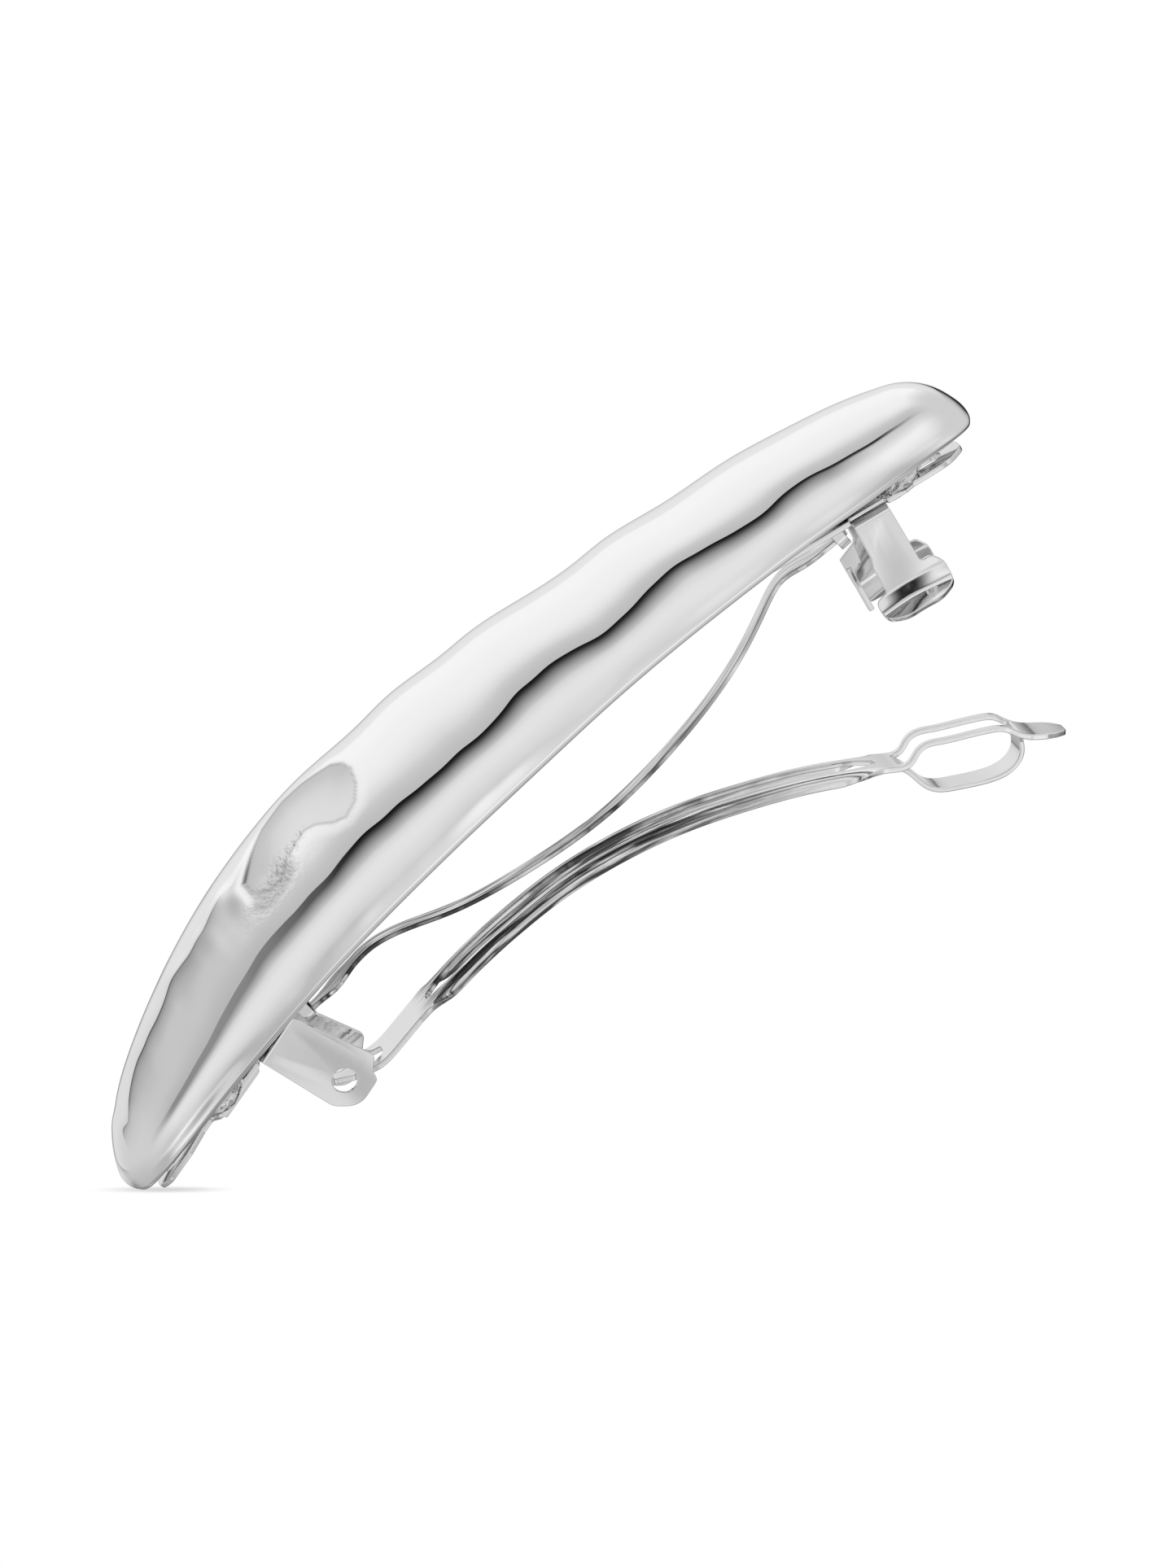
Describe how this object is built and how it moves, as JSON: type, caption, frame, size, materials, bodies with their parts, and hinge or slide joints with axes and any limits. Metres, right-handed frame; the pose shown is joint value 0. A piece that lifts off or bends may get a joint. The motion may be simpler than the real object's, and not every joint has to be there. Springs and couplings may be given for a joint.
{
  "type": "french barrette",
  "caption": "Long hollow shell with a soft molten surface over an arched strip clasp: forked slotted arm, bowed spring strip and squeeze catch for a bundle of hair.",
  "frame": {"origin": "midway between the tips of the two end tabs of the clasp base, on its underside chord", "axes": "+X from the hinge end to the catch end, +Z to the crown of the shell, +Y across the clip"},
  "size_m": [0.094, 0.0166, 0.042],
  "materials": {
    "chrome_shell": "mirror",
    "plated_steel": "bright plated",
    "solder": "rough plated"
  },
  "bodies": {
    "base": {"shell": "chrome_shell", "base_plate": "plated_steel", "solder_bead_hinge_end": "solder", "solder_bead_catch_end": "solder"},
    "arm": {"clasp_arm": "plated_steel"},
    "bow": {"bow_spring": "plated_steel"},
    "wing_front": {"catch_wing_front": "plated_steel"},
    "wing_rear": {"catch_wing_rear": "plated_steel"}
  },
  "joints": [
    {"name": "arm_swing", "type": "hinge", "parent": "base", "child": "arm", "pos_m": [-0.0277, 0, -0.00325], "axis": [0, 1, 0], "range_deg": [-16.5, 90]},
    {"name": "bow_flex", "type": "slide", "parent": "base", "child": "bow", "axis": [0, 0, 1], "range_m": [0, 0.003], "stiffness_N_per_m": 250, "deforming": ["bow_spring"]},
    {"name": "squeeze_front", "type": "hinge", "parent": "base", "child": "wing_front", "pos_m": [0.0358, -0.00305, 0.00174], "axis": [0.9764, 0, -0.2159], "range_deg": [0, 2], "stiffness_Nm_per_rad": 0.5},
    {"name": "squeeze_rear", "type": "hinge", "parent": "base", "child": "wing_rear", "pos_m": [0.0358, 0.00305, 0.00174], "axis": [-0.9764, 0, 0.2159], "range_deg": [0, 2], "stiffness_Nm_per_rad": 0.5}
  ]
}
